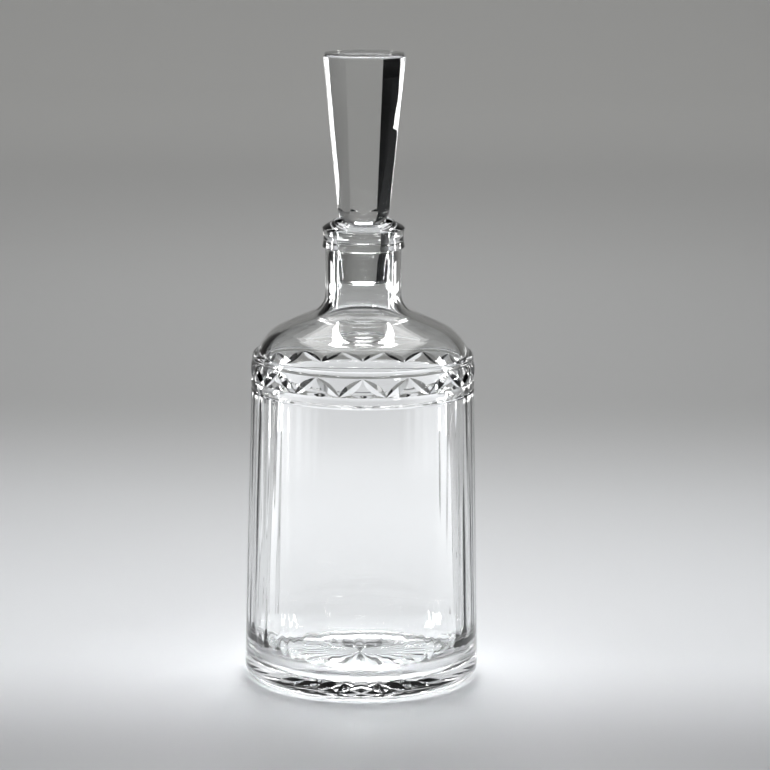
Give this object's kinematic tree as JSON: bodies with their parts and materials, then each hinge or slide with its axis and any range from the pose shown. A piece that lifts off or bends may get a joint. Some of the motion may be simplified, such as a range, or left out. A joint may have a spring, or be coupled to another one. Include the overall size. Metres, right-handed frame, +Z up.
{
  "type": "wine decanter",
  "caption": "Round crystal wine decanter with a zigzag cut band under the shoulder, a star-cut base and a faceted ground-in stopper that lifts out.",
  "frame": {"origin": "centre of the foot ring on the plane it stands on", "axes": "+Z up along the bottle's axis; -Y is the front, where one peak of the cut zigzag and one main face of the stopper look"},
  "size_m": [0.098, 0.098, 0.26],
  "materials": {
    "bottle_crystal": "clear, fire polished, with polished mitre cuts and a satin ground seat in the mouth",
    "stopper_crystal": "clear, polished facets, with a lightly ground plug"
  },
  "bodies": {
    "bottle": {"bottle": "bottle_crystal"},
    "stopper": {"stopper": "stopper_crystal"}
  },
  "joints": [
    {"name": "stopper_lift", "type": "slide", "parent": "bottle", "child": "stopper", "axis": [0, 0, 1], "range_m": [0, 0.04]}
  ]
}
